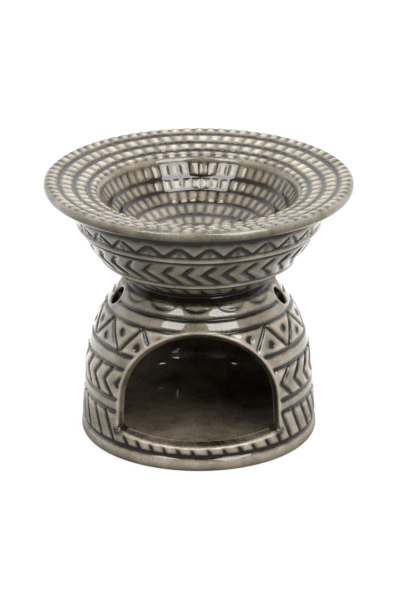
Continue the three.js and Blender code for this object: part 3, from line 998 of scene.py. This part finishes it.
def dipped_glaze():
    """Stoneware under a glossy translucent glaze, brushed or dipped, then fired.

    It lies dark where it pools in the cuts and goes cream where it runs thin over edges, and its
    wavy, mirror-smooth skin gives bright, slightly broken reflections.
    """
    found = bpy.data.materials.get("dipped_glaze")
    if found:
        return found
    glaze = bpy.context.scene.burner_glaze
    material = bpy.data.materials.new("dipped_glaze")
    tree = empty_tree(material)
    place = node(tree, "TexCoord")
    thickness = node(tree, "Attribute", {"attribute_name": "glaze"})
    chamber = node(tree, "Attribute", {"attribute_name": "chamber"})
    noise = {}
    for name, (scale, detail, roughness) in GLAZE_NOISE.items():
        noise[name] = node(tree, "TexNoise",
                           {"Scale": scale, "Detail": detail, "Roughness": roughness},
                           {"Vector": place.outputs["Object"]}).outputs["Fac"]
    swung = {}
    for name, gain, low in (("clouds", 1.4, -0.7), ("specks", 0.8, -0.4), ("stains", 2.4, -1.0)):
        swung[name] = node(tree, "Math", {"operation": "MULTIPLY_ADD", 1: gain, 2: low},
                           {0: noise[name]}).outputs[0]
    brown = node(tree, "Math", {"operation": "MAXIMUM"},
                 {0: chamber.outputs["Fac"], 1: swung["stains"]})
    uneven = node(tree, "Math", {"operation": "ADD"},
                  {0: swung["clouds"], 1: swung["specks"]})
    depth = node(tree, "Math", {"operation": "ADD"},
                 {0: thickness.outputs["Fac"], 1: uneven.outputs[0]})
    share = node(tree, "Math", {"operation": "MULTIPLY_ADD", 1: 0.5, 2: 0.5},
                 {0: depth.outputs[0]})
    tint = node(tree, "ValToRGB", {}, {"Fac": share.outputs[0]})
    thin, even, pooled, inner = ([*value, 1.0] for value in
                                 (glaze.thin, glaze.even, glaze.pooled, glaze.inner_brown_and_shade))
    ramp(tint, [(0.0, thin), (0.28, [0.35 * a + 0.65 * b for a, b in zip(thin, even)]),
                (0.5, even), (0.64, [0.5 * a + 0.5 * b for a, b in zip(even, pooled)]),
                (0.84, pooled)])
    # Browner where stains lie, in the well and on the jamb, and browner and darker inside the
    # chamber, where the darkening is painted shade.
    browned_and_shaded = node(tree, "Mix", {"data_type": "RGBA", "blend_type": "MULTIPLY"},
                   {0: brown.outputs[0], 6: tint.outputs["Color"]})
    browned_and_shaded.inputs[7].default_value = [min(1.0, a / b) for a, b in zip(inner, even)]
    skin = node(tree, "Math", {"operation": "MULTIPLY_ADD", 1: 0.12},
                {0: noise["peel"], 2: noise["waves"]})
    bump = node(tree, "Bump", {"Strength": 0.35, "Distance": 0.0008},
                {"Height": skin.outputs[0]})
    surface = node(tree, "BsdfPrincipled",
                   {"Roughness": 0.4, "IOR": 1.5, "Specular IOR Level": 0.0,
                    "Coat Weight": 1.0, "Coat IOR": 1.6, "Coat Roughness": glaze.roughness},
                   {"Base Color": browned_and_shaded.outputs[2], "Normal": bump.outputs["Normal"]})
    node(tree, "OutputMaterial", {}, {"Surface": surface.outputs[0]})
    return material


def studio_paper():
    """Matt white paper sweep, which glows to the camera as the plain white ground.

    To the glaze's reflections it glows as painted light, bright behind and dimmer in front, with a
    painted shadow close to the foot, where the burner shades it.
    """
    material = bpy.data.materials.new("studio_paper")
    tree = empty_tree(material)
    ray = node(tree, "LightPath")
    place = node(tree, "TexCoord")
    apart = node(tree, "VectorMath", {"operation": "LENGTH"},
                 {0: place.outputs["Object"]})
    # Painted shadow in the paper's glow close to the burner's foot.
    clear = node(tree, "MapRange",
                 {"From Min": 0.06, "From Max": 0.085, "To Min": 0.3, "To Max": 1.0},
                 {"Value": apart.outputs["Value"]})
    parts = node(tree, "SeparateXYZ", {}, {0: place.outputs["Object"]})
    # Painted light: the glow that the glaze mirrors is brighter behind and dimmer in front.
    behind = node(tree, "MapRange",
                  {"From Min": -0.05, "From Max": 0.09, "To Min": 0.3, "To Max": 1.9},
                  {"Value": parts.outputs["Y"]})
    # The painted glow that the glaze mirrors, with its painted shadow.
    painted_glow = node(tree, "Math", {"operation": "MULTIPLY"},
               {0: clear.outputs[0], 1: behind.outputs[0]})
    seen = node(tree, "Math", {"operation": "MAXIMUM"},
                {0: ray.outputs["Is Camera Ray"], 1: ray.outputs["Is Glossy Ray"]})
    tint = node(tree, "Mix", {"data_type": "RGBA", 6: linear("#858482"),
                                        7: linear("#ffffff")}, {0: seen.outputs[0]})
    paper = node(tree, "BsdfDiffuse", {}, {"Color": tint.outputs[2]})
    strength = node(tree, "Mix", {"data_type": "FLOAT", 3: 1.0},
                    {0: ray.outputs["Is Camera Ray"], 2: painted_glow.outputs[0]})
    ground = node(tree, "Emission", {"Color": linear("#ffffff")},
                  {"Strength": strength.outputs[0]})
    share = node(tree, "Math", {"operation": "MULTIPLY", 1: 0.88},
                 {0: seen.outputs[0]})
    mixed = node(tree, "MixShader", {}, {0: share.outputs[0], 1: paper.outputs[0],
                                                   2: ground.outputs[0]})
    node(tree, "OutputMaterial", {}, {"Surface": mixed.outputs[0]})
    return material


# ---- Studio


# The soft boxes: azimuth, elevation and distance from the burner, width and height, brightness.
SOFT_BOXES = {
    "key_right": (37, 51, 1.25, (0.7, 0.95), 7.0),
    "key_left": (-39, 54, 1.25, (0.5, 0.8), 6.6),
    "key_low": (31, 19, 1.25, (0.35, 0.35), 6.0),
    "overhead": (180, 66, 1.3, (1.5, 1.2), 1.0),
    "rim_left": (-108, 4, 1.3, (0.9, 0.8), 0.6),
}
# The camera, where the photograph was taken from: what it looks at, and its elevation, distance
# and lens.
TARGET, ELEVATION, DISTANCE, LENS = (0.00072, 0, 0.0552), 21.87, 1.5, 221.0


def on_stand(name, data, target, azimuth, elevation, distance):
    """Puts a lamp or camera on its stand, turned to its target."""
    holder = bpy.data.objects.new(name, data)
    bpy.context.scene.collection.objects.link(holder)
    a, e = math.radians(azimuth), math.radians(elevation)
    back = Vector((math.sin(a) * math.cos(e), -math.cos(a) * math.cos(e), math.sin(e)))
    holder.location = Vector(target) + back * distance
    holder.rotation_mode = "QUATERNION"
    holder.rotation_quaternion = back.to_track_quat("Z", "Y")
    return holder


def soft_box(name, azimuth, elevation, distance, size, brightness):
    """A lamp behind a square of cloth, facing the burner and unseen by the camera."""
    lamp = bpy.data.lights.new(name, "AREA")
    lamp.shape = "RECTANGLE"
    lamp.size, lamp.size_y = size
    lamp.energy = brightness * math.pi * size[0] * size[1]
    holder = on_stand(name, lamp, (0, 0, 0.06), azimuth, elevation, distance)
    holder.visible_camera = False


def studio_world(scene):
    """Bright behind, a little at the sides, dark in front, and white to the camera."""
    world = bpy.data.worlds.new("studio")
    tree = empty_tree(world)
    way = node(tree, "TexCoord")
    parts = node(tree, "SeparateXYZ", {}, {0: way.outputs["Generated"]})
    back = node(tree, "MapRange",
                {"From Min": -0.15, "From Max": 0.6, "To Min": 0.03, "To Max": 1.25},
                {"Value": parts.outputs["Y"]})
    sideways = node(tree, "Math", {"operation": "ABSOLUTE"}, {0: parts.outputs["X"]})
    sides = node(tree, "MapRange",
                 {"From Min": 0.12, "From Max": 0.5, "To Min": 0.03, "To Max": 0.35},
                 {"Value": sideways.outputs[0]})
    level = node(tree, "Math", {"operation": "MAXIMUM"},
                 {0: back.outputs[0], 1: sides.outputs[0]})
    ray = node(tree, "LightPath")
    strength = node(tree, "Mix", {"data_type": "FLOAT", 3: 1.0},
                    {0: ray.outputs["Is Camera Ray"], 2: level.outputs[0]})
    sky = node(tree, "Background", {"Color": linear("#ffffff")},
               {"Strength": strength.outputs[0]})
    node(tree, "OutputWorld", {}, {"Surface": sky.outputs[0]})
    scene.world = world


def studio_camera(scene):
    camera = bpy.data.cameras.new("camera")
    camera.lens = LENS
    camera.sensor_width = 36.0
    camera.clip_start, camera.clip_end = 0.1, 20.0
    scene.camera = on_stand("camera", camera, TARGET, 0, ELEVATION, DISTANCE)
    scene.view_settings.view_transform = "Standard"


# ---- Operators


class BURNER_OT_stage(bpy.types.Operator):
    """Sets the white sweep, the soft studio light and the camera"""

    bl_idname = "burner.stage"
    bl_label = "Studio"

    def execute(self, context):
        bm = bmesh.new()
        bmesh.ops.create_grid(bm, x_segments=4, y_segments=4, size=4.0)
        mesh = bpy.data.meshes.new("studio_floor")
        bm.to_mesh(mesh)
        bm.free()
        mesh.materials.append(studio_paper())
        floor = bpy.data.objects.new("studio_floor", mesh)
        context.scene.collection.objects.link(floor)
        for name, placing in SOFT_BOXES.items():
            soft_box(name, *placing)
        studio_world(context.scene)
        studio_camera(context.scene)
        return {"FINISHED"}


class BURNER_OT_dome(bpy.types.Operator):
    """Builds the carved dome with its window, vents, floor and foot"""

    bl_idname = "burner.dome"
    bl_label = "Carved Dome"

    def execute(self, context):
        s, c = shape(), carving()
        outside, inside = dome_outside(s, 0.5), chamber_inside(s, 0.25)
        bm = new_bmesh()
        spin_path(bm, outside, 560, DOME)
        neck = Path([(s.dome_top, s.dome_height), (s.neck_bore, s.dome_height)],
                    start=outside.marks[-1])
        top, _ = spin_path(bm, chamber_inside(s, 1.1, skip=1), 240, CHAMBER)
        bridge(bm, spin_path(bm, neck, 560, DOME)[1], top)
        ring = s.foot_radius - s.foot_ring
        foot = Path([(ring, 0), (s.foot_radius - s.foot_rounding, 0)], 1.4,
                    start=s.foot_rounding - s.foot_ring)
        recess = Path([(ring - s.foot_recess, s.foot_recess), (0, s.foot_recess)], 3.0)
        under, _ = spin_path(bm, recess, 144, PLAIN)
        bridge(bm, spin_path(bm, foot, 560, DOME)[0], under)
        openings = [window_opening(s, c, outside, inside)]
        openings += [vent_opening(s, c, outside, inside, side * VENT_ANGLE) for side in (-1, 1)]
        for opening in openings:
            cut_opening(bm, opening)
        return fire(bm, "carved_dome", {DOME: (dome_relief, outside)}, "dome_base",
                    openings=openings)


class BURNER_OT_collar(bpy.types.Operator):
    """Builds the plain coved collar between dome and dish"""

    bl_idname = "burner.collar"
    bl_label = "Neck Collar"

    def execute(self, context):
        s = shape()
        seat, half_way = dish_seat(s), s.dome_height + s.neck_height / 2
        corner = ((s.dome_top + s.dish_foot) / 2 - 2 * s.neck_hollow, half_way)
        cove = bezier((s.dome_top, s.dome_height), corner, (s.dish_foot, seat), corner, 16)
        path = Path(cove, 0.4)
        middle = (s.neck_bore, half_way)
        over = Path([cove[-1], (s.neck_bore, seat), middle], start=path.marks[-1])
        under = Path([middle, (s.neck_bore, s.dome_height), cove[0]],
                     start=s.neck_bore - s.dome_top - s.neck_height / 2)
        bm = new_bmesh()
        for side in (path, over, under):
            spin_path(bm, side, 288, DISH)
        return fire(bm, "neck_collar", {DISH: (collar_relief, path)}, "neck_ring")


class BURNER_OT_dish(bpy.types.Operator):
    """Builds the dish's carved outer wall"""

    bl_idname = "burner.dish"
    bl_label = "Dish Wall"

    def execute(self, context):
        s = shape()
        outside, seat = dish_outside(s, 0.5), dish_seat(s)
        bm = new_bmesh()
        _, top = spin_path(bm, outside, 640, DISH)
        foot = Path([(s.neck_bore, seat), (s.dish_foot, seat)], start=s.neck_bore - s.dish_foot)
        low, high = spin_path(bm, Path(hollow_side(s), 2.5), 96, PLAIN)
        bridge(bm, spin_path(bm, foot, 640, DISH)[0], low)
        bridge(bm, top, high)
        return fire(bm, "dish_wall", {DISH: (dish_relief, outside)}, "oil_dish")


class BURNER_OT_bowl(bpy.types.Operator):
    """Builds the rolled lip, the rim with its rows of blocks, and the well"""

    bl_idname = "burner.bowl"
    bl_label = "Rim and Well"

    def execute(self, context):
        s = shape()
        rim, well = rim_top(s, 0.48), well_inside(s, 0.5, skip=1)
        bm = new_bmesh()
        start, edge = spin_path(bm, rim, 800, RIM)
        mouth, _ = spin_path(bm, well, 400, WELL)
        bridge(bm, edge, mouth)
        height = well_edge_centre(s)[1]
        under = arc((0, height), s.well_radius + s.wall, -90, 0, 24, s.well_depth + s.wall)
        _, seam = spin_path(bm, Path(under + SEAM, 2.0), 96, PLAIN)
        bridge(bm, start, seam)
        return fire(bm, "rim_and_well", {RIM: (rim_relief, rim), WELL: (well_relief, well)},
                    "oil_dish")


class BURNER_PT_panel(bpy.types.Panel):
    """Lists the steps that build the burner"""

    bl_label = "Oil Burner"
    bl_idname = "BURNER_PT_panel"
    bl_space_type = "VIEW_3D"
    bl_region_type = "UI"
    bl_category = "Burner"

    def draw(self, context):
        for group in ("burner_shape", "burner_carving", "burner_glaze"):
            box = self.layout.box()
            for name in getattr(context.scene, group).__annotations__:
                box.prop(getattr(context.scene, group), name)
        for operator in STEPS:
            self.layout.operator(operator.bl_idname)


STEPS = (BURNER_OT_stage, BURNER_OT_dome, BURNER_OT_collar, BURNER_OT_dish, BURNER_OT_bowl)
GROUPS = {"burner_shape": BurnerShape, "burner_carving": BurnerCarving,
          "burner_glaze": BurnerGlaze}


def register():
    for made in (*GROUPS.values(), *STEPS, BURNER_PT_panel):
        bpy.utils.register_class(made)
    for name, group in GROUPS.items():
        setattr(bpy.types.Scene, name, PointerProperty(type=group))


def unregister():
    for name in GROUPS:
        delattr(bpy.types.Scene, name)
    for made in reversed((*GROUPS.values(), *STEPS, BURNER_PT_panel)):
        bpy.utils.unregister_class(made)


def main():
    register()
    for operator in STEPS:
        group, name = operator.bl_idname.split(".")
        getattr(getattr(bpy.ops, group), name)()


if __name__ == "__main__":
    main()
